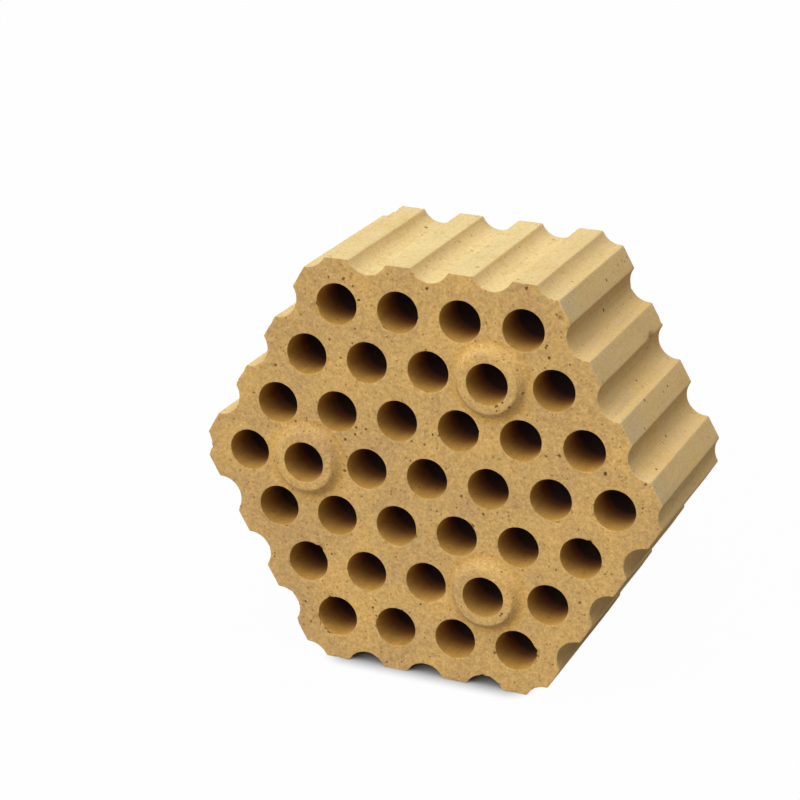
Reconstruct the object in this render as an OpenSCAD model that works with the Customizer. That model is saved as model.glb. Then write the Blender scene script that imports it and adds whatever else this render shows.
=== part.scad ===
// Hexagonal checker brick: one pressed and fired block of fireclay for a heat regenerator.
// Round gas channels run through it on a triangular grid, half channels run along its six
// sides and corners so that neighbouring bricks close them to round ones, and ring bosses on
// the front face seat in the sockets of the bricks of the next course.
// The brick stands on one of its six sides: +Z is up, the channels run along Y, and the
// bosses face -Y. The origin is on the floor, under the middle of the brick.

/* [Channels] */
// Diameter of a gas channel
channel_d = 22; // [14:0.5:32]
// Thickness of the clay between two neighbouring channels
web_w = 11.5; // [8:0.5:20]
// Rings of channels around the middle one
channel_rings = 3; // [2:1:4]

/* [Body] */
// Depth of the body between its two end faces
body_depth = 100; // [60:1:160]
// Joint left between the sides of neighbouring bricks
joint_gap = 9; // [4:0.5:14]
// Rounding of the long lips between a side's ridges and its half channels
lip_r = 1.2; // [0.6:0.1:2.5]

/* [Bosses and sockets] */
// Ring of channels that the bosses and the sockets stand on
boss_ring = 2; // [1:1:3]
// Height of a boss above the front face
boss_h = 5; // [3:0.5:8]
// Width of a boss's rim around its channel, with its bevel
boss_rim_w = 4.8; // [2.5:0.1:7]
// Bevel along the outer edge of the rim
boss_bevel = 0.8; // [0.3:0.1:1.2]
// Slope of a boss's flank away from its axis, in degrees
boss_draft = 36; // [10:1:45]
// Fillet around the foot of a boss
boss_fillet = 1.5; // [0.5:0.1:2]
// Clearance between a boss and the socket that it seats in
socket_gap = 0.6; // [0.2:0.1:2]

/* [Hidden] */
$fn = 96;
fireclay = [0.77, 0.61, 0.37];

// Bosses, spread evenly, and the angle of the first from the middle row of channels
boss_count = 3;
boss_angle = 60;
// As many sockets stand half a step round, where a staggered course has its bosses
socket_angle = boss_angle - 180 / boss_count;
// Overlap of joined solids, and run-out of cutters beyond the faces they open
overlap = 1;
// A rounding meets the face beside it at this small angle
blend_angle = 10;

channel_r = channel_d / 2;
channel_pitch = channel_d + web_w;
row_pitch = channel_pitch * sqrt(3) / 2;
// The half channels stand on the next ring of the grid, half a joint outside the sides
side_ring = channel_rings + 1;
across_flats = 2 * (side_ring * row_pitch - joint_gap / 2);
corner_r = across_flats / sqrt(3);

// Centre of a lip's rounding, from the axis of its half channel
lip_y = -joint_gap / 2 - lip_r * cos(blend_angle);
lip_x = sqrt(pow(channel_r + lip_r * cos(blend_angle), 2) - pow(lip_y, 2));

// A boss's flank is a cone from the rim's edge down to the front face
boss_r = channel_r + boss_rim_w;
flank_foot_r = boss_r + boss_h * tan(boss_draft);
// The foot's fillet stands as far off the flank as off the front face, and meets both at the
// same distance from the corner between them
fillet_z = boss_fillet * cos(blend_angle);
fillet_run = fillet_z * tan(45 - boss_draft / 2);
fillet_x = flank_foot_r + fillet_run;
boss_foot_r = fillet_x - boss_fillet * sin(blend_angle);
socket_depth = boss_h + socket_gap;

// Puts a copy of its child on every gas channel's axis
module at_channels() {
    for (row = [-channel_rings : channel_rings]) {
        steps = 2 * channel_rings - abs(row);
        for (i = [0 : steps])
            translate([(i - steps / 2) * channel_pitch, row * row_pitch]) children();
    }
}

// Puts copies of its child on the axes of the bosses or the sockets
module at_bosses(first_angle) {
    for (k = [0 : boss_count - 1])
        rotate(first_angle + k * 360 / boss_count) translate([boss_ring * channel_pitch, 0]) children();
}

// Section of a half channel with its rounded lips; the side faces +Y, and sides lists which
// of its two lips, -1 and 1, belong to this side
module half_channel(sides) {
    circle(channel_r);
    for (s = sides)
        difference() {
            polygon([[0, 0], [s * lip_x, lip_y], [s * lip_x, channel_r], [0, channel_r]]);
            translate([s * lip_x, lip_y]) circle(lip_r);
        }
}

// Outline of the brick: a hexagon with half channels along its sides and in its corners
module outline() {
    difference() {
        circle(corner_r, $fn = 6);
        for (k = [0 : 5])
            rotate(60 * k) {
                translate([side_ring * channel_pitch, 0]) {
                    rotate(-60) half_channel([-1]);
                    rotate(-120) half_channel([1]);
                }
                for (j = [1 : channel_rings])
                    translate([(side_ring - j / 2) * channel_pitch, j * row_pitch])
                        rotate(-60) half_channel([-1, 1]);
            }
    }
}

// Ring boss on the plane z = 0: a bevelled rim, a conical flank and a filleted foot
module boss() {
    rotate_extrude()
        difference() {
            polygon([
                [0, -overlap],
                [fillet_x, -overlap],
                [fillet_x, fillet_z],
                [flank_foot_r - fillet_run * sin(boss_draft), fillet_run * cos(boss_draft)],
                [boss_r + boss_bevel * sin(boss_draft), boss_h - boss_bevel * cos(boss_draft)],
                [boss_r - boss_bevel, boss_h],
                [0, boss_h]
            ]);
            translate([fillet_x, fillet_z]) circle(boss_fillet);
        }
}

// Tapered recess for a boss, open at the plane z = 0
module socket() {
    cylinder(r1 = boss_foot_r + socket_gap, r2 = boss_r + socket_gap, h = socket_depth);
}

module checker_brick() {
    color(fireclay)
        translate([0, (body_depth + boss_h) / 2, across_flats / 2])
            rotate([90, 0, 0])
                difference() {
                    union() {
                        linear_extrude(body_depth) outline();
                        translate([0, 0, body_depth]) at_bosses(boss_angle) boss();
                    }
                    at_channels()
                        translate([0, 0, -overlap])
                            cylinder(r = channel_r, h = body_depth + boss_h + 2 * overlap);
                    at_bosses(socket_angle) socket();
                }
}

checker_brick();
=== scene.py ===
"""Looks of a hexagonal checker brick, pressed and fired from fireclay, in the frame of its CAD model.

The brick is one piece. Its sizes are in millimetres in a frame of its own: u to the right, v up
from the middle and w back from the front face. The mesh is turned to the CAD frame, in metres,
as it is made.
"""

import logging
import math
import random
from dataclasses import dataclass, field
from enum import Enum
from functools import partial

import bmesh
import bpy
import numpy as np
from mathutils import Matrix, Vector, noise
from mathutils.geometry import delaunay_2d_cdt


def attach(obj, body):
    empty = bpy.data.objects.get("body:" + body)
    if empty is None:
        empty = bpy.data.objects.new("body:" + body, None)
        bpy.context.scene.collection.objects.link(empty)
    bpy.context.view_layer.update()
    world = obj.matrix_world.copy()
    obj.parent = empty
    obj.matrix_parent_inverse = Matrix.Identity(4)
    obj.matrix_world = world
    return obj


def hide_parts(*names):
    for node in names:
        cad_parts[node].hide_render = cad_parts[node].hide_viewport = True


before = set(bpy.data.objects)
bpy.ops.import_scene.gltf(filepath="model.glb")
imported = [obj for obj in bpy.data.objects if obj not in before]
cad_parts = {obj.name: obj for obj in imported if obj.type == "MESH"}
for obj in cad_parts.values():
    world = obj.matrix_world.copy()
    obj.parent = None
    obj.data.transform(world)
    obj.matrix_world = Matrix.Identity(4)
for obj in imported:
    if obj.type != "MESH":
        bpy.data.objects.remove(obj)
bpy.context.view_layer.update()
LOG = logging.getLogger("checker_brick")
MM = 0.001


class End(Enum):
    """The brick's two end faces, with the way that depth runs into the clay from each."""

    FRONT = 1
    BACK = -1


class Sign(Enum):
    """What the finish follows: a value that the mesh carries, or a pattern in the clay."""

    END = "end_face"
    EDGE = "edge"
    CHIP = "chip"
    FIRED = "painted_light_pale"
    # Painted light: paler clay where the light falls.
    DUST = "dusted"
    # Painted shade: browner, darker channel walls and bosses' feet.
    BORE = "painted_channel_shade"
    SIDE = "drawn side"
    SHOWS = "body showing"
    CLOUD = "cloud"
    TONE = "tone"
    FINE = "fine grain"
    RAGGED = "ragged outline"
    STREAK = "drawn streak"
    GRIT = "pale grit"
    RUST = "rusty grain"
    PEPPER = "brown speck"
    IRON = "iron speck"
    PITS = "pits"
    LUMP = "iron lump"


# Signs that the mesh carries as attributes of its points.
MESH_SIGNS = (Sign.END, Sign.EDGE, Sign.CHIP, Sign.FIRED, Sign.DUST, Sign.BORE)


def linear(colour: str) -> tuple[float, float, float, float]:
    """Turns an sRGB colour into Blender's linear one.

    Args:
        colour: sRGB hex value, such as "#c49f64".

    Returns:
        Linear red, green, blue and an alpha of 1.
    """
    parts = [int(colour[i:i + 2], 16) / 255 for i in (1, 3, 5)]
    red, green, blue = (c / 12.92 if c <= 0.04045 else ((c + 0.055) / 1.055) ** 2.4 for c in parts)
    return red, green, blue, 1.0


def per_metre(size_mm: float) -> float:
    """Gives the scale at which a texture's pattern, in metres, is size_mm across."""
    return 1.0 / (size_mm * MM)


def put_in_scene(name: str, data: bpy.types.ID) -> bpy.types.Object:
    """Adds an object to the scene.

    Args:
        name: The object's name.
        data: Its mesh, lamp or camera.

    Returns:
        The new object.
    """
    made = bpy.data.objects.new(name, data)
    bpy.context.scene.collection.objects.link(made)
    return made


def bare_tree(block: bpy.types.Material | bpy.types.World) -> bpy.types.NodeTree:
    """Empties the node tree of a new material or world.

    Args:
        block: The material or world.

    Returns:
        Its node tree.
    """
    block.use_nodes = True
    block.node_tree.nodes.clear()
    return block.node_tree


def add_node(tree: bpy.types.NodeTree, kind: str, **values: object) -> bpy.types.Node:
    """Adds a node with its settings and links.

    Args:
        tree: The node tree to add to.
        kind: The node's type name, without the ShaderNode that it starts with.
        values: Properties of the node by name; and for each input, by name with _ for a space or
            by number as in_N, the output socket to join to it or a plain value.

    Returns:
        The new node.
    """
    node = tree.nodes.new("ShaderNode" + kind)
    for name, value in values.items():
        if hasattr(node, name):
            setattr(node, name, value)
            continue
        key: str | int = int(name[3:]) if name.startswith("in_") else name.replace("_", " ")
        if isinstance(value, bpy.types.NodeSocket):
            tree.links.new(value, node.inputs[key])
        else:
            node.inputs[key].default_value = value
    return node


def seen_directly(tree: bpy.types.NodeTree) -> bpy.types.NodeSocket:
    """Adds the test for what the camera sees itself, in a mirror or through glass.

    Args:
        tree: The node tree to add to.

    Returns:
        A socket that is 1 for such rays and 0 for the light that falls on things.
    """
    path = add_node(tree, "LightPath")
    seen = path.outputs["Is Camera Ray"]
    for other in ("Is Glossy Ray", "Is Transmission Ray"):
        seen = add_node(tree, "Math", operation="MAXIMUM", in_0=seen, in_1=path.outputs[other]).outputs[0]
    return seen


def grain(points: np.ndarray, size: float, seed: float) -> np.ndarray:
    """Smooth noise at points.

    Args:
        points: Places in mm, one row of three each.
        size: Width of the noise's waves in mm.
        seed: Shift that tells one noise from another.

    Returns:
        One value from about -1 to 1 for each point.
    """
    moved = points / size + seed
    return np.array([noise.noise(p) for p in moved.tolist()])


@dataclass(frozen=True)
class BrickSizes:
    """Sizes of the brick in mm and degrees, as the CAD model has them."""

    channel_d: float = 22.0
    web: float = 11.5
    rings: int = 3
    depth: float = 100.0
    joint_gap: float = 9.0
    lip_r: float = 1.2
    boss_ring: int = 2
    boss_count: int = 3
    boss_h: float = 5.0
    boss_rim: float = 4.8
    boss_draft: float = 36.0
    boss_fillet: float = 1.5
    socket_gap: float = 0.6
    boss_angle: float = 60.0
    socket_angle: float = 0.0

    @property
    def channel_r(self) -> float:
        """Radius of a gas channel."""
        return self.channel_d / 2

    @property
    def pitch(self) -> float:
        """Spacing of the channels."""
        return self.channel_d + self.web

    @property
    def row_pitch(self) -> float:
        """Spacing of the rows of channels."""
        return self.pitch * math.sqrt(3) / 2

    @property
    def apothem(self) -> float:
        """Distance from the middle to the flat of a side."""
        return (self.rings + 1) * self.row_pitch - self.joint_gap / 2

    @property
    def boss_r(self) -> float:
        """Radius at which a boss's rim and flank meet, before the edge between them is rounded."""
        return self.channel_r + self.boss_rim

    @property
    def boss_foot_r(self) -> float:
        """Radius at which a boss's flank meets the front face, before its fillet."""
        return self.boss_r + self.boss_h * math.tan(math.radians(self.boss_draft))

    def channel_axes(self) -> list[tuple[float, float]]:
        """Works out where the round channels are.

        Returns:
            The axes of all of them, row by row from the bottom.
        """
        found = []
        for row in range(-self.rings, self.rings + 1):
            steps = 2 * self.rings - abs(row)
            found += [((i - steps / 2) * self.pitch, row * self.row_pitch) for i in range(steps + 1)]
        return found

    def keyed_axes(self, first_angle: float) -> list[tuple[float, float]]:
        """Gives the axes of the bosses or of the sockets.

        Args:
            first_angle: Angle of the first one from the middle row, in degrees.

        Returns:
            Their axes, spread evenly about the middle.
        """
        reach = self.boss_ring * self.pitch
        turns = [math.radians(first_angle + k * 360 / self.boss_count) for k in range(self.boss_count)]
        return [(reach * math.cos(a), reach * math.sin(a)) for a in turns]

    def to_frame(self, points: np.ndarray) -> np.ndarray:
        """Turns points of the brick's own frame, in mm, to the CAD frame, in metres."""
        back = points[:, 2] - (self.depth - self.boss_h) / 2
        return np.c_[points[:, 0], back, points[:, 1] + self.apothem] * MM


@dataclass
class ClayBody:
    """The brick's mesh while it is made: loops of points, and the faces between them."""

    points: list[np.ndarray] = field(default_factory=list)
    skins: list[np.ndarray] = field(default_factory=list)
    edges: list[np.ndarray] = field(default_factory=list)
    painted_channel_shades: list[np.ndarray] = field(default_factory=list)
    faces: list[tuple[int, ...]] = field(default_factory=list)
    count: int = 0

    def add(self, flat: np.ndarray, depth: np.ndarray | float, skin: float, edge: float,
            painted_channel_shade: float = 0.0) -> np.ndarray:
        """Adds points, which are a closed loop where faces join them.

        Args:
            flat: Places across the brick, u and v, one row each.
            depth: Their depth w behind the front face.
            skin: Share of the end faces' look, 1 on them and 0 on drawn walls.
            edge: Nearness to an edge, 1 on it and 0 away from it.
            painted_channel_shade: Share of painted shade on the channel walls and round the bosses' feet,
                from 0 outside to 1 well inside a channel.

        Returns:
            The points' numbers.
        """
        size = len(flat)
        self.points.append(np.c_[flat, np.broadcast_to(depth, size)])
        self.skins.append(np.full(size, skin))
        self.edges.append(np.full(size, edge))
        self.painted_channel_shades.append(np.full(size, painted_channel_shade))
        self.count += size
        return np.arange(self.count - size, self.count)

    def join(self, loops: list[np.ndarray]) -> None:
        """Adds a band of faces between each loop and the next.

        Args:
            loops: The numbers of the loops' points, as many in each.
        """
        for first, second in zip(loops, loops[1:]):
            band = np.c_[first, np.roll(first, -1), np.roll(second, -1), second]
            self.faces.extend(map(tuple, band.tolist()))

    def all_points(self) -> np.ndarray:
        """Gives every point, one row each."""
        return np.concatenate(self.points)


@dataclass(frozen=True)
class WornRim:
    """The rounded edge where a wall meets an end face, worn unevenly by handling.

    Its radius swings between two sizes in patches, with finer ones in them, and the face beside
    it starts with a narrow margin.
    """

    least: float = 0.15
    most: float = 0.42
    patch: float = 5.0
    finer: float = 3.0
    finer_share: float = 0.25
    margin: float = 0.75
    margin_wear: float = 0.2
    turns: tuple[float, ...] = (0.0, 30.0, 60.0, 90.0)

    def loops(self, body: ClayBody, wall: np.ndarray, out: np.ndarray, plane: float, end: End,
              seed: float, painted_shade: float = 0.0) -> list[np.ndarray]:
        """Adds the edge's loops from the face to the wall.

        Args:
            body: The mesh to add to.
            wall: The wall's outline, u and v.
            out: Unit vectors out of the clay at the outline.
            plane: Depth of the face.
            end: Which end of the brick the face looks to.
            seed: Tells this edge's wear from another's.
            painted_shade: How brown the painted shade makes the wall where the edge ends.

        Returns:
            The loops, the face's boundary first and the wall's last.
        """
        place = np.c_[wall, np.full(len(wall), plane)]
        wear = 0.5 + 0.5 * grain(place, self.patch, seed)
        wear += self.finer_share * grain(place, self.patch / self.finer, seed)
        radius = self.least + (self.most - self.least) * np.clip(wear, 0, 1)
        found = [body.add(wall - out * self.margin, plane, 1.0, self.margin_wear)]
        for turn in self.turns:
            angle = math.radians(turn)
            inset = radius * (1 - math.sin(angle))
            depth = plane + end.value * radius * (1 - math.cos(angle))
            # The wall's painted shade fades out over the rounded edge.
            found.append(body.add(wall - out * inset[:, None], depth, math.cos(angle) ** 2, 1.0,
                                  painted_shade * math.sin(angle) ** 2))
        return found


def wall_levels(front: float, back: float, steps: tuple[float, ...], apart: float = 1.0) -> list[float]:
    """Gives the depths of a wall's loops, close together near both ends.

    Args:
        front: Depth of the wall's front end.
        back: Depth of its back end.
        steps: Distances of the loops from either end.
        apart: How far they stay from the loop in the middle.

    Returns:
        The depths, from front to back.
    """
    middle = (front + back) / 2
    near = [front + s for s in steps if front + s < middle - apart]
    far = [back - s for s in steps if back - s > middle + apart]
    return sorted(near + [middle] + far)


@dataclass
class Trace:
    """An outline while it is drawn, against the clock as seen from the front."""

    points: list[np.ndarray] = field(default_factory=list)
    outs: list[np.ndarray] = field(default_factory=list)
    edges: list[float] = field(default_factory=list)

    def arc(self, centre: np.ndarray, radius: float, span: tuple[float, float], steps: int,
            edge: float, hollow: bool = False) -> None:
        """Adds an arc's points but the last.

        Args:
            centre: The arc's centre.
            radius: Its radius.
            span: The angles at which it starts and ends.
            steps: How many points it adds.
            edge: Their nearness to an edge.
            hollow: Whether the clay is outside the arc.
        """
        for k in range(steps):
            angle = span[0] + (span[1] - span[0]) * k / steps
            way = np.array([math.cos(angle), math.sin(angle)])
            self.points.append(centre + radius * way)
            self.outs.append(-way if hollow else way)
            self.edges.append(edge)

    def line(self, start: np.ndarray, run: np.ndarray, out: np.ndarray, steps: int,
             edge: float) -> None:
        """Adds a straight stretch's points but the last.

        Args:
            start: Where it starts.
            run: The way from there to its end.
            out: The unit vector out of the clay.
            steps: How many points it adds.
            edge: The first point's nearness to an edge.
        """
        for k in range(steps):
            self.points.append(start + run * k / steps)
            self.outs.append(out)
            self.edges.append(edge if k == 0 else 0.0)


@dataclass(frozen=True)
class ScallopedSides:
    """The six sides: ridges with flat tops, and half channels with rounded lips between them."""

    sizes: BrickSizes
    rim: WornRim = WornRim(least=0.25, most=0.7, patch=7.0, margin=1.0)
    front_seed: float = 11.3
    back_seed: float = 47.9
    # How worn the lips, the ridges' edges and the ends are, and how far that reaches from an end.
    lip_wear: float = 0.6
    ridge_wear: float = 0.5
    end_wear: float = 0.6
    end_reach: float = 3.0
    # Points along each part of the outline, and how far its loops are from either end.
    groove_steps: int = 16
    corner_steps: int = 9
    lip_steps: int = 4
    ridge_steps: int = 6
    level_steps: tuple[float, ...] = (1.3, 2.8, 4.6, 6.8, 9.4, 12.5, 16, 20, 24.5, 29.5, 34.5, 39.5, 44.5)

    def outline(self) -> Trace:
        """Works out the outline of the sides.

        Returns:
            The outline, once round the brick.
        """
        s = self.sizes
        quarter, sink = math.pi / 2, s.joint_gap / 2 + s.lip_r
        lip_x = math.sqrt((s.channel_r + s.lip_r) ** 2 - sink ** 2)
        lip_end = math.atan2(sink, lip_x)
        trace = Trace()
        for k in range(6):
            side = math.radians(30 + 60 * k)
            normal = np.array([math.cos(side), math.sin(side)])
            along = np.array([-math.sin(side), math.cos(side)])
            # A side has a half channel for each ring and shares one more with the next side.
            for j in range(s.rings + 1):
                corner = j == s.rings
                after = side + (math.pi / 3 if corner else 0.0)
                beyond = np.array([math.cos(after), math.sin(after)])
                past = np.array([-math.sin(after), math.cos(after)])
                shift = (j - (s.rings - 1) / 2) * s.pitch
                axis = along * shift + normal * (s.apothem + s.joint_gap / 2)
                before_lip = axis - along * lip_x - normal * sink
                after_lip = axis + past * lip_x - beyond * sink
                span_in = (side, side + quarter - lip_end)
                span_round = (side - quarter - lip_end, after - 3 * quarter + lip_end)
                span_out = (after - quarter + lip_end, after)
                steps = self.corner_steps if corner else self.groove_steps
                ridge = past * (s.pitch - 2 * lip_x)
                trace.arc(before_lip, s.lip_r, span_in, self.lip_steps, self.lip_wear)
                trace.arc(axis, s.channel_r, span_round, steps, 0.0, hollow=True)
                trace.arc(after_lip, s.lip_r, span_out, self.lip_steps, self.lip_wear)
                trace.line(after_lip + beyond * s.lip_r, ridge, beyond, self.ridge_steps, self.ridge_wear)
        return trace

    def build(self, body: ClayBody) -> dict[End, np.ndarray]:
        """Adds the sides.

        Args:
            body: The mesh to add to.

        Returns:
            The boundary that each end face is filled to.
        """
        depth = self.sizes.depth
        trace = self.outline()
        wall, out, edge = np.array(trace.points), np.array(trace.outs), np.array(trace.edges)
        front = self.rim.loops(body, wall, out, 0.0, End.FRONT, self.front_seed)
        back = self.rim.loops(body, wall, out, depth, End.BACK, self.back_seed)
        between = []
        for w in wall_levels(0.0, depth, self.level_steps):
            between.append(body.add(wall, w, 0.0, 0.0))
            near = self.end_wear * max(0.0, 1 - min(w, depth - w) / self.end_reach)
            body.edges[-1] = np.maximum(edge, near)
        body.join(front + between + back[::-1])
        return {End.FRONT: front[0], End.BACK: back[0]}


@dataclass(frozen=True)
class Ring:
    """A ring of points about a channel's axis: its sizes in mm, nearness to an edge and painted shade."""

    radius: float
    depth: float
    edge: float = 0.0
    painted_shade: float = 0.0


@dataclass(frozen=True)
class GasChannel:
    """A round channel through the brick, plain, in a ring boss or behind a socket."""

    sizes: BrickSizes
    axis: tuple[float, float]
    boss: bool = False
    socket: bool = False
    rim: WornRim = WornRim()
    front_seed: float = 3.7
    back_seed: float = 8.1
    # How worn the wall is at its ends, and how far that reaches.
    end_wear: float = 0.5
    end_reach: float = 3.0
    # Firing and wear round a boss's edge and foot more than the mould does.
    shoulder: float = 1.7
    shoulder_wear: float = 0.5
    foot: float = 3.4
    foot_margin: float = 0.2
    arc_shares: tuple[float, ...] = (0.0, 0.25, 0.5, 0.75, 1.0)
    # A loop on a boss's rim, out from the wall.
    rim_out: float = 2.4
    rim_wear: float = 0.3
    # A socket's mouth is wider by this share of the fillet that it has to clear.
    fillet_share: float = 0.33
    # Its worn mouth, tapered wall and floor: steps out from the radius and in from the plane, the
    # mouth's with its wear, and shares of the way from the mouth to the floor.
    mouth_loops: tuple[tuple[float, float, float], ...] = (
        (0.75, 0.0, 0.2), (0.4, 0.0, 1.0), (0.1, 0.12, 1.0), (-0.25, 0.4, 1.0))
    taper_shares: tuple[float, ...] = (0.25, 0.55, 0.82)
    floor_loops: tuple[tuple[float, float], ...] = ((0.2, -0.3), (-0.45, 0.0), (-2.2, 0.0))
    # Painted shade in the hollow of a boss's foot: how brown it makes the clay there.
    foot_painted_shade: float = 0.3
    # Painted shade in the channel: how brown the wall is at its mouth, the depth at which it is at
    # its darkest, and how slowly it darkens at first.
    painted_shade: float = 0.5
    dark_from: float = 26.0
    dark_curve: float = 1.5
    plain_steps: int = 44
    keyed_steps: int = 72
    level_steps: tuple[float, ...] = (1.4, 3.4, 7, 11, 16, 21, 26)

    def profile(self, body: ClayBody, rings: list[Ring], way: np.ndarray) -> list[np.ndarray]:
        """Adds rings about the axis.

        Args:
            body: The mesh to add to.
            rings: The rings.
            way: Unit vectors from the axis, one for each point of a ring.

        Returns:
            The numbers of each ring's points.
        """
        middle = np.array(self.axis)
        return [body.add(middle + way * r.radius, r.depth, 1.0, r.edge, r.painted_shade) for r in rings]

    def boss_profile(self) -> list[Ring]:
        """Works out a boss's rings: fillet, conical flank, rounded shoulder and flat rim.

        Returns:
            The rings, from the front face up to the rim.
        """
        s = self.sizes
        draft = math.radians(s.boss_draft)
        # An arc takes this share of its radius along each of the two lines that it joins.
        reach = math.tan(math.pi / 4 - draft / 2)
        foot_x = s.boss_foot_r + self.foot * reach
        shoulder_x, shoulder_z = s.boss_r - self.shoulder * reach, s.boss_h - self.shoulder
        # The fillet at the foot carries painted shade, which fades up towards the flank.
        rings = [Ring(foot_x + self.foot_margin, 0.0, painted_shade=self.foot_painted_shade)]
        for share in self.arc_shares:
            turn = 1.5 * math.pi - share * (math.pi / 2 - draft)
            rings.append(Ring(foot_x + self.foot * math.cos(turn), -self.foot * (1 + math.sin(turn)),
                              painted_shade=self.foot_painted_shade * (1 - share)))
        for share in self.arc_shares:
            turn = draft + share * (math.pi / 2 - draft)
            rings.append(Ring(shoulder_x + self.shoulder * math.cos(turn),
                              -shoulder_z - self.shoulder * math.sin(turn), self.shoulder_wear))
        rings.append(Ring(s.channel_r + self.rim_out, -s.boss_h, self.rim_wear))
        return rings

    def socket_profile(self) -> list[Ring]:
        """Works out a socket's rings: worn mouth, tapered wall and flat floor.

        Returns:
            The rings, from the back face to the floor.
        """
        s = self.sizes
        floor = s.depth - s.boss_h - s.socket_gap
        floor_r = s.boss_r + s.socket_gap
        mouth_r = s.boss_foot_r + s.boss_fillet * self.fillet_share + s.socket_gap
        rings = [Ring(mouth_r + out, s.depth - down, wear) for out, down, wear in self.mouth_loops]
        for share in self.taper_shares:
            rings.append(Ring(mouth_r + (floor_r - mouth_r) * share, s.depth + (floor - s.depth) * share))
        rings += [Ring(floor_r + out, floor - down) for out, down in self.floor_loops]
        return rings

    def build(self, body: ClayBody) -> dict[End, np.ndarray]:
        """Adds the channel and what stands around its mouths.

        Args:
            body: The mesh to add to.

        Returns:
            The ring that each end face is filled to.
        """
        s = self.sizes
        steps = self.keyed_steps if self.boss or self.socket else self.plain_steps
        turn = np.arange(steps) * 2 * math.pi / steps
        way = np.c_[np.cos(turn), np.sin(turn)]
        wall = np.array(self.axis) + way * s.channel_r
        first = -s.boss_h if self.boss else 0.0
        last = s.depth - (s.boss_h + s.socket_gap if self.socket else 0.0)
        front = self.rim.loops(body, wall, -way, first, End.FRONT, self.front_seed, self.painted_shade)
        back = self.rim.loops(body, wall, -way, last, End.BACK, self.back_seed, self.painted_shade)
        if self.boss:
            front = self.profile(body, self.boss_profile(), way) + front
        if self.socket:
            back = self.profile(body, self.socket_profile(), way) + back
        between = []
        for w in wall_levels(first, last, self.level_steps):
            inside = min(w - first, last - w)
            edge = self.end_wear * max(0.0, 1 - inside / self.end_reach)
            # Painted shade darkens the wall from each mouth inwards.
            darkened = min(1.0, inside / self.dark_from) ** self.dark_curve
            painted_channel_shade = self.painted_shade + (1 - self.painted_shade) * darkened
            between.append(body.add(wall, w, 0.0, edge, painted_channel_shade))
        body.join(front + between + back[::-1])
        return {End.FRONT: front[0], End.BACK: back[0]}


@dataclass(frozen=True)
class EndFace:
    """An end face: fine triangles between the sides and the channels' mouths."""

    sizes: BrickSizes
    end: End
    spacing: float = 1.75
    clearance: float = 1.0
    # The grid of points covers this much more than the brick's half width, up to its corners.
    reach: float = 1.2
    # How far the grid's points stray, the width of the waves that they stray in, and their seeds.
    stray: float = 0.3
    stray_size: float = 1.3
    stray_seeds: tuple[float, float] = (2.2, 6.6)
    # A triangle whose middle is within this share of a mouth's radius is in the opening.
    mouth_share: float = 0.999
    # Points this close are one, and a triangle with no more area than this isn't in the face but
    # along a straight stretch of its border.
    tolerance: float = 1e-6
    sliver: float = 1e-6

    def inside(self, points: np.ndarray, border: np.ndarray) -> np.ndarray:
        """Tells which points are inside a border.

        Args:
            points: Places, u and v.
            border: The corners of a closed border.

        Returns:
            True for each point inside.
        """
        found = np.zeros(len(points), bool)
        u, v = points.T
        for a, b in zip(border, np.roll(border, -1, axis=0)):
            if a[1] != b[1]:
                cross = (b[0] - a[0]) * (v - a[1]) / (b[1] - a[1]) + a[0]
                found ^= ((a[1] > v) != (b[1] > v)) & (u < cross)
        return found

    def fill(self, body: ClayBody, border: np.ndarray, mouths: list[np.ndarray],
             axes: list[tuple[float, float]]) -> None:
        """Adds the face.

        Args:
            body: The mesh to add to.
            border: The loop around the face.
            mouths: The rings around the openings in it.
            axes: The middle of each ring.
        """
        known = body.all_points()[:, :2]
        edge = known[border]
        radii = [math.dist(known[m[0]], a) for m, a in zip(mouths, axes)]
        reach = self.sizes.apothem * self.reach
        rows = np.arange(-reach, reach, self.spacing * math.sqrt(3) / 2)
        columns = np.arange(-reach, reach, self.spacing)
        grid = np.array([(u + (k % 2) * self.spacing / 2, v) for k, v in enumerate(rows) for u in columns])
        flat = np.c_[grid, np.zeros(len(grid))]
        grid = grid + self.stray * np.c_[*(grain(flat, self.stray_size, k) for k in self.stray_seeds)]
        keep = np.hypot(*grid.T) < reach
        for (u, v), r in zip(axes, radii):
            keep &= np.hypot(grid[:, 0] - u, grid[:, 1] - v) > r + self.clearance
        grid = grid[keep]
        grid = grid[self.inside(grid, edge)]
        gap = np.array([np.min(np.hypot(*(edge - g).T)) for g in grid])
        grid = grid[gap > self.clearance]
        plane = 0.0 if self.end is End.FRONT else self.sizes.depth
        inner = body.add(grid, plane, 1.0, 0.0)
        numbers = np.concatenate([border, *mouths, inner])
        flat = body.all_points()[numbers, :2]
        fences, start = [], 0
        for loop in [border, *mouths]:
            size = len(loop)
            fences += [(start + k, start + (k + 1) % size) for k in range(size)]
            start += size
        corners = [Vector(p) for p in flat.tolist()]
        _, _, faces, origins, _, _ = delaunay_2d_cdt(corners, fences, [], 0, self.tolerance)
        triangles = np.array([o[0] for o in origins])[np.array(faces)]
        middles = flat[triangles].mean(axis=1)
        sides = flat[triangles[:, 1:]] - flat[triangles[:, :1]]
        keep = self.inside(middles, edge) & (np.abs(np.linalg.det(sides)) > self.sliver)
        for (u, v), r in zip(axes, radii):
            keep &= np.hypot(middles[:, 0] - u, middles[:, 1] - v) > r * self.mouth_share
        body.faces.extend(map(tuple, numbers[triangles[keep]].tolist()))


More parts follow.
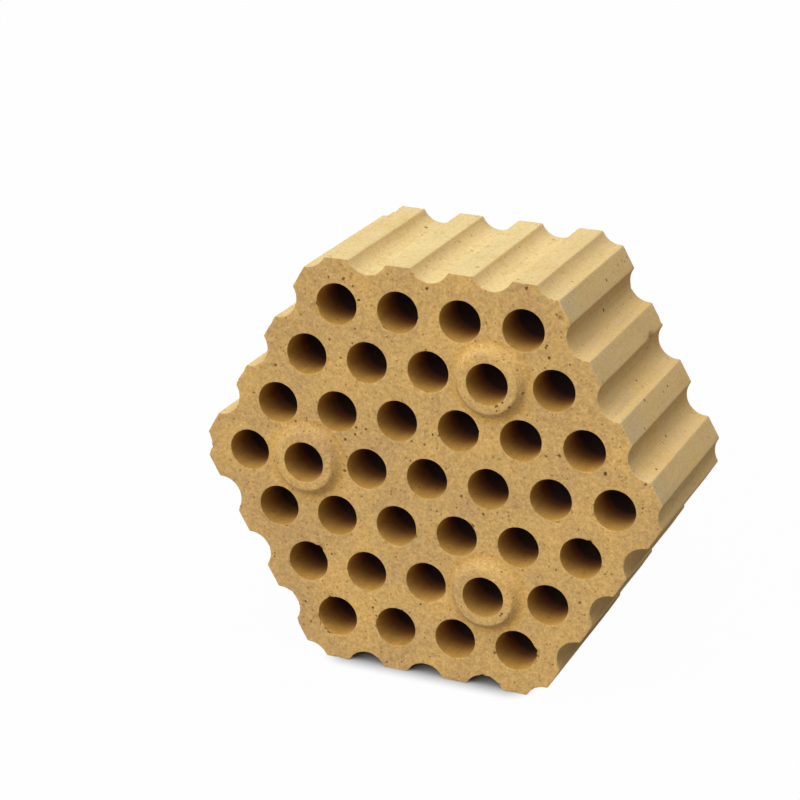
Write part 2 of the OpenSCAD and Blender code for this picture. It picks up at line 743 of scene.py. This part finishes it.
@dataclass(frozen=True)
class Chip:
    """A place where the clay has broken away: a rough hollow about a point, in mm."""

    at: tuple[float, float, float]
    radius: float
    # Shares of the radius: how far the hollow can reach, and the width and height of its lumps.
    reach: float = 1.5
    lump_w: float = 0.7
    lump_h: float = 0.4
    # Depth from which the hollow looks broken.
    broken_from: float = 0.05

    def carve(self, points: np.ndarray, inward: np.ndarray, worn: np.ndarray) -> None:
        """Pushes the surface in to the hollow's wall.

        Args:
            points: All points of the brick, changed in place.
            inward: Unit vectors into the clay at the points.
            worn: How broken the surface is at each point, changed in place.
        """
        near = np.flatnonzero(np.linalg.norm(points - self.at, axis=1) < self.radius * self.reach)
        if not len(near):
            return
        away = points[near] - self.at
        rough = grain(points[near], self.radius * self.lump_w, self.at[0])
        radius = self.radius * (1 + self.lump_h * rough)
        along = np.sum(away * inward[near], axis=1)
        left = along ** 2 - (np.sum(away ** 2, axis=1) - radius ** 2)
        push = np.where(np.linalg.norm(away, axis=1) < radius, -along + np.sqrt(np.maximum(left, 0)), 0)
        points[near] += inward[near] * np.clip(push, 0, self.radius)[:, None]
        worn[near] = np.maximum(worn[near], push > self.broken_from)


@dataclass(frozen=True)
class Lump:
    """A lump of iron-bearing clay that shows as a dark speck: its place and radius in mm."""

    at: tuple[float, float, float]
    radius: float


@dataclass(frozen=True)
class Waves:
    """A soft pattern in the clay, drawn out along the brick's depth by a factor."""

    size_mm: float
    detail: float = 2.0
    drawn_out: float = 1.0


@dataclass(frozen=True)
class Spots:
    """Grains or specks of one kind: a share of the cells holds one, of a width between two sizes."""

    cell_mm: float
    least_mm: float
    most_mm: float
    share: float
    soft_mm: float = 0.3


@dataclass(frozen=True)
class Tint:
    """A colour laid over the clay, which comes in as a sign goes from start to full."""

    colour: str
    sign: Sign
    start: float = 0.0
    full: float = 1.0
    most: float = 1.0
    where: Sign | None = None


@dataclass(frozen=True)
class Shade:
    """Lighter and darker clay: by how much the tone swings with a sign."""

    sign: Sign
    swing: float
    where: Sign


@dataclass(frozen=True)
class FiredFireclay:
    """Pressed and fired fireclay: a dry, matt body of clay and ground fired grog.

    To the eye it is a warm buff ground, mottled by grog grains of 1 to 3 mm in paler, yellower
    and redder tones, with dark brown iron specks. The end faces show that body. The mould's
    walls drew a paler, smoother skin over the sides, with faint lines along the brick's depth.
    Painted light makes the top side paler, and painted shade makes the channels' walls brown.
    """

    name: str = "pressed_fired_fireclay"
    ground: str = "#c8a365"
    roughness: float = 0.92
    specular: float = 0.3
    bump_mm: float = 0.35
    bump_strength: float = 0.55
    # Share of the body's grain and specks that the drawn skin of the sides lets through.
    shows_on_sides: float = 0.5
    # Noise mostly keeps to this span; finer noise is weaker by this factor at each step.
    noise_span: tuple[float, float] = (0.3, 0.7)
    noise_roughness: float = 0.55
    # How far the outlines of grains and specks stray, and the share of a lump that is fully dark.
    raggedness: float = 0.3
    lump_core: float = 0.6
    waves: tuple[tuple[Sign, Waves], ...] = (
        (Sign.CLOUD, Waves(28.0)),
        (Sign.TONE, Waves(3.4, 2.0)),
        # The body's own grain is about 0.5 mm, which is a pixel here, so it is drawn twice as coarse.
        (Sign.FINE, Waves(1.2, 2.0)),
        (Sign.RAGGED, Waves(0.9, 1.0)),
        (Sign.STREAK, Waves(2.6, 3.0, 26.0)),
    )
    spots: tuple[tuple[Sign, Spots], ...] = (
        (Sign.GRIT, Spots(2.2, 0.7, 1.6, 0.5, 0.4)),
        (Sign.RUST, Spots(3.2, 1.0, 2.4, 0.5, 0.6)),
        (Sign.PEPPER, Spots(2.8, 0.8, 1.5, 0.45)),
        (Sign.IRON, Spots(6.5, 1.1, 2.1, 0.6)),
        (Sign.PITS, Spots(5.0, 0.6, 1.4, 0.35)),
    )
    tints: tuple[Tint, ...] = (
        # The body's yellower and redder patches.
        Tint("#caa96e", Sign.TONE, 0.50, 0.70, 0.3),
        Tint("#bc9054", Sign.TONE, 0.48, 0.30, 0.3),
        Tint("#cda45d", Sign.CLOUD, 0.52, 0.70, 0.45),
        Tint("#c59f6e", Sign.CLOUD, 0.48, 0.32, 0.45),
        # The drawn skin, greyer in clouds and streaks, and paler with painted light on the top side and on
        # walls that face the light.
        Tint("#dabb81", Sign.SIDE),
        Tint("#cfb07d", Sign.CLOUD, 0.45, 0.65, 0.7, Sign.SIDE),
        Tint("#deb974", Sign.CLOUD, 0.50, 0.34, 0.6, Sign.SIDE),
        # Painted light, paler on the top side and on walls that face the light.
        Tint("#e1ca90", Sign.FIRED, where=Sign.SIDE),
        Tint("#d0a75f", Sign.TONE, 0.50, 0.68, 0.5, Sign.SIDE),
        Tint("#c2a473", Sign.STREAK, 0.52, 0.72, 0.35, Sign.SIDE),
        Tint("#c3b08e", Sign.DUST, most=0.6),
        # Painted shade on the channel walls, browner and darker from the mouth inwards, and on the bosses'
        # feet.
        Tint("#c89b4b", Sign.BORE, 0.0, 0.5),
        Tint("#86511e", Sign.BORE, 0.5, 0.8),
        Tint("#44251a", Sign.BORE, 0.8, 1.0),
        # Grog and iron.
        Tint("#dcc08a", Sign.GRIT, most=0.5, where=Sign.END),
        Tint("#a5702f", Sign.RUST, most=0.45, where=Sign.END),
        Tint("#925a20", Sign.PEPPER, most=0.75, where=Sign.SHOWS),
        Tint("#683a10", Sign.IRON, most=0.85, where=Sign.SHOWS),
        Tint("#4f2a0c", Sign.LUMP, most=0.9),
        # Rubbed edges and fresh breaks.
        Tint("#dbc08a", Sign.FINE, 0.40, 0.68, 0.1, Sign.EDGE),
        Tint("#c9a162", Sign.CHIP, most=0.5),
    )
    shades: tuple[Shade, ...] = (
        Shade(Sign.FINE, 0.17, Sign.SHOWS),
        Shade(Sign.TONE, 0.07, Sign.SHOWS),
        Shade(Sign.CLOUD, 0.09, Sign.SHOWS),
        Shade(Sign.STREAK, 0.07, Sign.SIDE),
    )
    relief: tuple[tuple[Sign, float], ...] = ((Sign.FINE, 0.5), (Sign.TONE, 0.4), (Sign.PITS, -0.4))

    def signs(self, tree: bpy.types.NodeTree, lumps: list[Lump],
              sizes: BrickSizes) -> dict[Sign, bpy.types.NodeSocket]:
        """Adds the mesh's values and the clay's patterns.

        Args:
            tree: The material's node tree.
            lumps: The named dark specks.
            sizes: The brick's sizes, which place them.

        Returns:
            The socket of each sign.
        """
        add = partial(add_node, tree)
        found = {}
        for sign in MESH_SIGNS:
            found[sign] = add("Attribute", attribute_name=sign.value).outputs["Fac"]
        side = add("Math", operation="SUBTRACT", in_0=1.0, in_1=found[Sign.END])
        shows = add("MapRange", Value=found[Sign.END], To_Min=self.shows_on_sides)
        found |= {Sign.SIDE: side.outputs[0], Sign.SHOWS: shows.outputs[0]}
        place = add("TexCoord").outputs["Object"]
        for sign, waves in self.waves:
            drawn = add("Mapping", vector_type="TEXTURE", Vector=place, Scale=(1.0, waves.drawn_out, 1.0))
            found[sign] = add("TexNoise", noise_dimensions="3D", Vector=drawn.outputs[0],
                              Scale=per_metre(waves.size_mm), Detail=waves.detail,
                              Roughness=self.noise_roughness).outputs[0]
        low, high = self.noise_span
        ragged = add("MapRange", Value=found[Sign.RAGGED], From_Min=low, From_Max=high,
                     To_Min=1 - self.raggedness, To_Max=1 + self.raggedness).outputs[0]
        for sign, spots in self.spots:
            found[sign] = self.strewn(tree, place, ragged, spots)
        found[Sign.LUMP] = self.placed(tree, place, ragged, lumps, sizes)
        return found

    def strewn(self, tree: bpy.types.NodeTree, place: bpy.types.NodeSocket, ragged: bpy.types.NodeSocket,
               spots: Spots) -> bpy.types.NodeSocket:
        """Strews grains or specks through the clay.

        Args:
            tree: The material's node tree.
            place: The place in the brick, in metres.
            ragged: A factor about 1 that makes outlines uneven.
            spots: Their sizes and number.

        Returns:
            A socket that is 1 in a spot and 0 between them.
        """
        add = partial(add_node, tree)
        cells = add("TexVoronoi", feature="F1", Vector=place, Scale=per_metre(spots.cell_mm),
                    Randomness=1.0)
        pick = add("SeparateColor", in_0=cells.outputs["Color"]).outputs[0]
        away = add("Math", operation="MULTIPLY", in_0=cells.outputs["Distance"], in_1=ragged)
        # The cells with the highest numbers hold a spot, and the highest of all the widest one.
        radius = add("MapRange", Value=pick, From_Min=1 - spots.share, From_Max=1.0,
                     To_Min=spots.least_mm / 2 / spots.cell_mm, To_Max=spots.most_mm / 2 / spots.cell_mm)
        inside = add("Math", operation="SUBTRACT", in_0=radius.outputs[0], in_1=away.outputs[0])
        spot = add("MapRange", Value=inside.outputs[0], From_Max=spots.soft_mm / spots.cell_mm)
        held = add("Math", operation="GREATER_THAN", in_0=pick, in_1=1 - spots.share)
        return add("Math", operation="MULTIPLY", in_0=spot.outputs[0], in_1=held.outputs[0]).outputs[0]

    def placed(self, tree: bpy.types.NodeTree, place: bpy.types.NodeSocket, ragged: bpy.types.NodeSocket,
               lumps: list[Lump], sizes: BrickSizes) -> bpy.types.NodeSocket | float:
        """Puts the named dark specks where they are.

        Args:
            tree: The material's node tree.
            place: The place in the brick, in metres.
            ragged: A factor about 1 that makes outlines uneven.
            lumps: The specks.
            sizes: The brick's sizes, which place them.

        Returns:
            A socket that is 1 in a speck and 0 elsewhere.
        """
        add = partial(add_node, tree)
        found: bpy.types.NodeSocket | float = 0.0
        for lump in lumps:
            centre = tuple(sizes.to_frame(np.array([lump.at]))[0])
            away = add("VectorMath", operation="DISTANCE", in_0=place, in_1=centre)
            uneven = add("Math", operation="MULTIPLY", in_0=away.outputs["Value"], in_1=ragged)
            spot = add("MapRange", Value=uneven.outputs[0], From_Min=lump.radius * MM,
                       From_Max=lump.radius * self.lump_core * MM)
            found = add("Math", operation="MAXIMUM", in_0=found, in_1=spot.outputs[0]).outputs[0]
        return found

    def colour(self, tree: bpy.types.NodeTree,
               signs: dict[Sign, bpy.types.NodeSocket]) -> bpy.types.NodeSocket:
        """Lays the tints and the shades over the ground.

        Args:
            tree: The material's node tree.
            signs: The sockets that they follow.

        Returns:
            The clay's colour.
        """
        add = partial(add_node, tree)
        colour: bpy.types.NodeSocket | tuple[float, ...] = linear(self.ground)
        for tint in self.tints:
            share = add("MapRange", Value=signs[tint.sign], From_Min=tint.start, From_Max=tint.full,
                        To_Max=tint.most).outputs[0]
            if tint.where:
                share = add("Math", operation="MULTIPLY", in_0=share, in_1=signs[tint.where]).outputs[0]
            colour = add("Mix", data_type="RGBA", in_0=share, in_6=colour,
                         in_7=linear(tint.colour)).outputs[2]
        low, high = self.noise_span
        for shade in self.shades:
            light = add("MapRange", Value=signs[shade.sign], From_Min=low, From_Max=high,
                        To_Min=1 - shade.swing, To_Max=1 + shade.swing).outputs[0]
            colour = add("Mix", data_type="RGBA", blend_type="MULTIPLY", in_0=signs[shade.where],
                         in_6=colour, in_7=light).outputs[2]
        return colour

    def material(self, lumps: list[Lump], sizes: BrickSizes) -> bpy.types.Material:
        """Makes the material.

        Args:
            lumps: The named dark specks.
            sizes: The brick's sizes, which place them.

        Returns:
            The new material.
        """
        made = bpy.data.materials.new(self.name)
        tree = bare_tree(made)
        add = partial(add_node, tree)
        signs = self.signs(tree, lumps, sizes)
        height: bpy.types.NodeSocket | float = 0.0
        for sign, weight in self.relief:
            height = add("Math", operation="MULTIPLY_ADD", in_0=signs[sign], in_1=weight,
                         in_2=height).outputs[0]
        bump = add("Bump", Strength=self.bump_strength, Distance=self.bump_mm * MM, Height=height)
        shader = add("BsdfPrincipled", Roughness=self.roughness, Specular_IOR_Level=self.specular,
                     Base_Color=self.colour(tree, signs), Normal=bump.outputs[0])
        add("OutputMaterial", Surface=shader.outputs[0])
        return made


@dataclass
class CheckerBrick:
    """The whole brick, one mesh: sides, channels, bosses, sockets and end faces."""

    sizes: BrickSizes = BrickSizes()
    finish: FiredFireclay = FiredFireclay()
    name: str = "checker_brick_fireclay"
    # The surface's uneven waves: the width and height of each kind, and their seeds.
    unevenness: tuple[tuple[float, float], ...] = ((24.0, 0.10), (7.0, 0.05), (2.6, 0.035))
    uneven_seed: float = 5.5
    uneven_seed_step: float = 9.1
    # Sides with painted light, which makes the clay paler where the light falls: the angle of each, and
    # by how much; and the half angle that a side takes up.
    painted_light_sides: tuple[tuple[float, float], ...] = ((90.0, 0.95), (150.0, 0.5), (-90.0, 0.4))
    half_side: float = 30.0
    # The way that the painted light comes from, u and v: walls that face away from it get less of it and stay
    # yellower, as painted shade.
    painted_light_way: tuple[float, float] = (-0.5, 0.8)
    painted_light_spread: float = 0.25
    # Side whose ridges carry grey dust, how far back from the front face, and its patches: their
    # width and seed, the share of dust and how far that swings.
    dusty_side: float = 30.0
    dust_reach: float = 42.0
    dust_patch: float = 14.0
    dust_seed: float = 31.7
    dust_share: float = 0.7
    dust_swing: float = 0.8
    # Small chips: how many, their radii, the share of them at channel mouths, and how far those on
    # the sides stand out of the clay, as a share of the radius.
    chip_seed: int = 41
    small_chips: int = 110
    small_chip_radii: tuple[float, float] = (0.7, 1.5)
    mouth_chips: float = 0.5
    chip_out: float = 0.4

    def clay(self) -> ClayBody:
        """Builds the brick's surface before wear.

        Returns:
            The closed surface.
        """
        s = self.sizes
        body = ClayBody()
        border = ScallopedSides(s).build(body)
        bosses, sockets = s.keyed_axes(s.boss_angle), s.keyed_axes(s.socket_angle)
        axes = s.channel_axes()
        mouths: dict[End, list[np.ndarray]] = {End.FRONT: [], End.BACK: []}
        for axis in axes:
            channel = GasChannel(s, axis, self.one_of(axis, bosses), self.one_of(axis, sockets))
            rings = channel.build(body)
            for end in End:
                mouths[end].append(rings[end])
        for end in End:
            EndFace(s, end).fill(body, border[end], mouths[end], axes)
        return body

    @staticmethod
    def one_of(axis: tuple[float, float], others: list[tuple[float, float]]) -> bool:
        """Tells whether an axis is among others, to the nearest millimetre."""
        return any(math.dist(axis, other) < 1.0 for other in others)

    def chips(self) -> list[Chip]:
        """Gives the brick's broken places: the ones that show in front, and small ones all round.

        Returns:
            The chips.
        """
        s = self.sizes
        # The channels at the ends of the top and bottom rows.
        right, top = s.rings / 2 * s.pitch, s.rings * s.row_pitch
        left, bottom = -right, -top
        found = [
            # The broken front edge over the top row, and the double pit below it.
            Chip((65.5, 108.0, -0.6), 2.8), Chip((62.0, 109.6, -0.4), 1.8),
            Chip((69.0, 96.0, -0.4), 1.4), Chip((66.8, 97.6, -0.3), 1.1),
            # The broken back edge of the top's left ridge.
            Chip((-57.0, 112.0, 72.0), 2.4), Chip((-57.5, 111.6, 79.0), 1.8), Chip((-57.2, 112.0, 91.0), 2.2),
            # A nick in the second ridge of the upper right side.
            Chip((90.6, 65.2, 79.0), 2.0),
            # Ragged mouths of the bottom and top rows.
            Chip((left - 9.0, bottom - 6.8, 0.0), 1.6), Chip((left - 5.2, bottom - 10.0, 0.0), 1.4),
            Chip((left - 10.6, bottom - 3.4, 0.2), 1.2),
            Chip((left + s.pitch - 11.0, bottom + 1.0, 0.2), 1.2),
            Chip((right + 11.2, bottom + 1.2, 0.2), 1.7), Chip((right + 11.4, bottom - 2.0, 0.2), 1.4),
            Chip((left - 9.6, top - 5.6, 0.0), 1.8), Chip((left - 10.8, top - 2.4, 0.2), 1.4),
        ]
        draw = random.Random(self.chip_seed)
        axes = s.channel_axes()
        outline = ScallopedSides(s).outline()
        for _ in range(self.small_chips):
            end = draw.choice((0.0, s.depth))
            radius = draw.uniform(*self.small_chip_radii)
            if draw.random() < self.mouth_chips:
                u, v = draw.choice(axes)
                turn = draw.uniform(0, 2 * math.pi)
                u, v = u + s.channel_r * math.cos(turn), v + s.channel_r * math.sin(turn)
            else:
                k = draw.randrange(len(outline.points))
                u, v = outline.points[k] + outline.outs[k] * self.chip_out * radius
            found.append(Chip((float(u), float(v), end), radius))
        return found

    def lumps(self) -> list[Lump]:
        """Gives the dark specks that show most.

        Returns:
            The lumps that make them.
        """
        rim = -self.sizes.boss_h
        return [
            # On the front face.
            Lump((69, 96, 0.8), 1.4), Lump((67, 97.5, 0.8), 1.0), Lump((95, 19, 0), 1.1),
            Lump((64, 75, 0), 0.9), Lump((-1, 102, 0), 1.0), Lump((-38, 91, 0), 1.1),
            Lump((-69, -82, 0), 0.8), Lump((-16, -98, 0), 1.0), Lump((-30, -78, 0), 0.8),
            Lump((-3, -71, 0), 0.8), Lump((22, -52, 0), 0.7), Lump((3, 25, 0), 0.8),
            Lump((62, 80, 0), 0.8), Lump((32, 77, 0), 0.7),
            # On the bosses' rims.
            Lump((44, -65, rim), 0.9), Lump((42, 50, rim), 0.7), Lump((39, 45, rim), 0.6),
            # On the upper right side.
            Lump((72, 98, 61), 1.0), Lump((72, 99, 92), 0.8), Lump((73, 84, 55), 1.2),
            Lump((91, 65.5, 79), 1.3), Lump((93, 50, 52), 0.8), Lump((102, 46, 37), 0.9),
            Lump((109, 21.5, 54), 1.0), Lump((115.5, 18, 18), 0.9), Lump((104, 42.5, 70), 0.8),
            Lump((107.5, 37, 22), 0.8),
            # On the top side.
            Lump((-37, 105.7, 86), 1.2), Lump((20, 111.4, 15), 0.9),
        ]

    def dust(self, points: np.ndarray) -> np.ndarray:
        """Tells where grey dust lies: on the dusty side's ridges, fading back from the front face.

        Args:
            points: Places on the brick.

        Returns:
            The share of dust at each, from 0 to 1.
        """
        side = math.radians(self.dusty_side)
        height = points[:, :2] @ np.array([math.cos(side), math.sin(side)]) - self.sizes.apothem
        fade = np.clip(1 - points[:, 2] / self.dust_reach, 0, 1)
        patches = grain(points, self.dust_patch, self.dust_seed)
        patchy = np.clip(self.dust_share + self.dust_swing * patches, 0, 1)
        return np.clip(1 + height, 0, 1) * fade * patchy

    # Painted light: the top side paler, and walls that face away from the light yellower, as painted shade.
    def fired(self, points: np.ndarray, out: np.ndarray) -> np.ndarray:
        """Tells how much painted light makes the clay paler, on the sides that the light falls on most.

        Args:
            points: Places on the brick.
            out: Unit vectors out of the clay at them.

        Returns:
            The share of the painted light at each, from 0 to 1.
        """
        turned = np.degrees(np.arctan2(points[:, 1], points[:, 0]))
        pale = np.zeros(len(points))
        for side, share in self.painted_light_sides:
            # Full in the middle of the side, half at its corners and none past them.
            off = np.abs((turned - side + 180) % 360 - 180) / self.half_side
            pale += share * np.clip(1.5 - off, 0, 1)
        faced = np.clip(self.painted_light_spread + out[:, :2] @ np.array(self.painted_light_way), 0, 1)
        return np.clip(pale * faced, 0, 1)

    def mesh(self) -> bpy.types.Mesh:
        """Makes the worn brick's mesh, with the attributes that its finish reads.

        Returns:
            The mesh, in the CAD frame.
        """
        body = self.clay()
        points = body.all_points()
        made = bpy.data.meshes.new(self.name)
        made.from_pydata(self.sizes.to_frame(points).tolist(), [], body.faces)
        work = bmesh.new()
        work.from_mesh(made)
        bmesh.ops.recalc_face_normals(work, faces=work.faces)
        work.to_mesh(made)
        work.free()
        out = np.empty(len(points) * 3, np.float32)
        made.vertex_normals.foreach_get("vector", out)
        out = out.reshape(-1, 3)[:, [0, 2, 1]].astype(float)
        sink = np.zeros(len(points))
        for k, (size, height) in enumerate(self.unevenness):
            waves = grain(points, size, self.uneven_seed + self.uneven_seed_step * k)
            sink += height * (0.5 + 0.5 * np.clip(waves, -1, 1))
        points = points - out * sink[:, None]
        broken = np.zeros(len(points))
        for chip in self.chips():
            chip.carve(points, -out, broken)
        made.vertices.foreach_set("co", self.sizes.to_frame(points).ravel())
        carried = {
            Sign.END: np.concatenate(body.skins),
            Sign.EDGE: np.concatenate(body.edges),
            Sign.CHIP: broken,
            Sign.FIRED: self.fired(points, out),
            Sign.DUST: self.dust(points),
            Sign.BORE: np.concatenate(body.painted_channel_shades),
        }
        for sign in MESH_SIGNS:
            layer = made.attributes.new(sign.value, "FLOAT", "POINT")
            layer.data.foreach_set("value", carried[sign].astype(np.float32))
        made.polygons.foreach_set("use_smooth", np.ones(len(made.polygons), bool))
        made.update()
        return made

    def build(self) -> bpy.types.Object:
        """Makes the brick, dresses it and puts it in place of its CAD node.

        Returns:
            The brick.
        """
        piece = put_in_scene(self.name, self.mesh())
        piece.data.materials.append(self.finish.material(self.lumps(), self.sizes))
        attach(piece, "root")
        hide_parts("checker_brick")
        return piece


@dataclass(frozen=True)
class PaleFloor:
    """A plain white studio floor, with a painted shadow round the brick's footing, wide enough to fill the
    picture.
    """

    half_width: float = 15.0
    # The paint, a grey that the camera sees only round the brick's footing: a painted shadow that deepens the
    # real one.
    paint: str = "#aaaeb4"
    # What the floor throws back on the brick, a little less and warmer than the paint.
    thrown_back: str = "#9c958c"
    # Share of plain white in what the camera sees of the floor; half the width and depth of the
    # brick's footing, and how far from it that share is reached, in metres.
    lifted: float = 0.98
    footing: tuple[float, float, float] = (0.045, 0.042, 0.0)
    fade: float = 0.016

    def material(self) -> bpy.types.Material:
        """Makes the floor's material: matt grey paint, a painted shadow round the brick's footing, that is
        lifted to plain white away from the brick.

        Returns:
            The new material.
        """
        made = bpy.data.materials.new("matt_white_studio_floor")
        tree = bare_tree(made)
        add = partial(add_node, tree)
        seen = seen_directly(tree)
        # The camera sees the grey paint, a painted shadow near the brick; the light thrown back comes from
        # the warmer tone.
        tone = add("Mix", data_type="RGBA", in_0=seen, in_6=linear(self.thrown_back),
                   in_7=linear(self.paint))
        matt = add("BsdfDiffuse", Color=tone.outputs[2])
        white = add("Emission", Color=(1, 1, 1, 1), Strength=1.0)
        # The way out from the nearest point of the footing, which is nothing on it.
        past = add("TexCoord").outputs["Object"]
        for operation, other in (("ABSOLUTE", (0, 0, 0)), ("SUBTRACT", self.footing), ("MAXIMUM", (0, 0, 0))):
            past = add("VectorMath", operation=operation, in_0=past, in_1=other).outputs[0]
        away = add("VectorMath", operation="LENGTH", in_0=past).outputs["Value"]
        fade = add("MapRange", interpolation_type="SMOOTHSTEP", Value=away, From_Max=self.fade,
                   To_Max=self.lifted)
        lift = add("Math", operation="MULTIPLY", in_0=seen, in_1=fade.outputs[0])
        both = add("MixShader", in_0=lift.outputs[0], in_1=matt.outputs[0], in_2=white.outputs[0])
        add("OutputMaterial", Surface=both.outputs[0])
        return made

    def build(self) -> bpy.types.Object:
        """Makes the floor.

        Returns:
            The floor.
        """
        w = self.half_width
        mesh = bpy.data.meshes.new("floor")
        mesh.from_pydata([(-w, -w, 0), (w, -w, 0), (w, w, 0), (-w, w, 0)], [], [(0, 1, 2, 3)])
        mesh.materials.append(self.material())
        floor = put_in_scene("floor", mesh)
        return floor


@dataclass(frozen=True)
class StudioLight:
    """Soft light from four wide lamps, each given by the way to it and its width, and dim warm walls.

    A lamp's length is its strength, 1 where a colour shows as it is written.
    """

    lamps: tuple[tuple[str, tuple[float, float, float], float], ...] = (
        ("key", (-0.05, -0.42, 0.37), 55.0),
        ("left", (-0.23, -0.32, 0.11), 75.0),
        ("overhead", (0.05, -0.05, 0.45), 55.0),
        ("rear", (0.02, 0.30, 0.15), 60.0),
    )
    walls: str = "#fff2e2"
    walls_strength: float = 0.02

    def lamp(self, name: str, towards: tuple[float, float, float], width_deg: float) -> None:
        """Adds a far lamp.

        Args:
            name: Its name.
            towards: The way to it; the length is its strength, 1 where a colour shows as written.
            width_deg: How wide it is, seen from the brick.
        """
        lamp = bpy.data.lights.new(name, "SUN")
        lamp.energy = math.pi * Vector(towards).length
        lamp.angle = math.radians(width_deg)
        made = put_in_scene(name, lamp)
        made.rotation_euler = Vector(towards).to_track_quat("Z", "Y").to_euler()

    def build(self) -> None:
        """Makes the lamps and the surroundings; the camera sees these as white."""
        for name, towards, width_deg in self.lamps:
            self.lamp(name, towards, width_deg)
        world = bpy.data.worlds.new("white_surroundings")
        tree = bare_tree(world)
        add = partial(add_node, tree)
        seen = seen_directly(tree)
        tone = add("Mix", data_type="RGBA", in_0=seen, in_6=linear(self.walls), in_7=(1, 1, 1, 1))
        strength = add("MapRange", Value=seen, To_Min=self.walls_strength, To_Max=1.0)
        sky = add("Background", Strength=strength.outputs[0], Color=tone.outputs[2])
        add("OutputWorld", Surface=sky.outputs[0])
        bpy.context.scene.world = world


@dataclass(frozen=True)
class ProductCamera:
    """The camera at the photograph's viewing angle: place and clip in metres, lens and sensor in mm."""

    place: tuple[float, float, float] = (0.42746, -1.0883, 0.58136)
    forward: tuple[float, float, float] = (-0.36584, 0.86048, -0.35461)
    up: tuple[float, float, float] = (-0.14358, 0.32427, 0.93500)
    lens: float = 107.66
    sensor: float = 36.0
    clip: tuple[float, float] = (0.05, 100.0)

    def build(self) -> bpy.types.Object:
        """Makes the camera and gives it to the scene.

        Returns:
            The camera.
        """
        data = bpy.data.cameras.new("camera")
        data.sensor_fit = "HORIZONTAL"
        data.sensor_width, data.lens = self.sensor, self.lens
        data.clip_start, data.clip_end = self.clip
        camera = put_in_scene("camera", data)
        forward, up = Vector(self.forward), Vector(self.up)
        turn = Matrix((forward.cross(up), up, -forward)).transposed().to_quaternion().normalized()
        camera.matrix_world = Matrix.Translation(self.place) @ turn.to_matrix().to_4x4()
        bpy.context.scene.camera = camera
        return camera


def main() -> None:
    """Builds the brick and its studio."""
    logging.basicConfig(level=logging.INFO, format="%(name)s: %(message)s")
    bpy.context.scene.view_settings.view_transform = "Standard"
    ProductCamera().build()
    StudioLight().build()
    PaleFloor().build()
    brick = CheckerBrick().build()
    mesh = brick.data
    mesh.calc_loop_triangles()
    LOG.info("%s: %d points, %d triangles", brick.name, len(mesh.vertices), len(mesh.loop_triangles))
    bpy.context.view_layer.update()


if __name__ == "__main__":
    main()
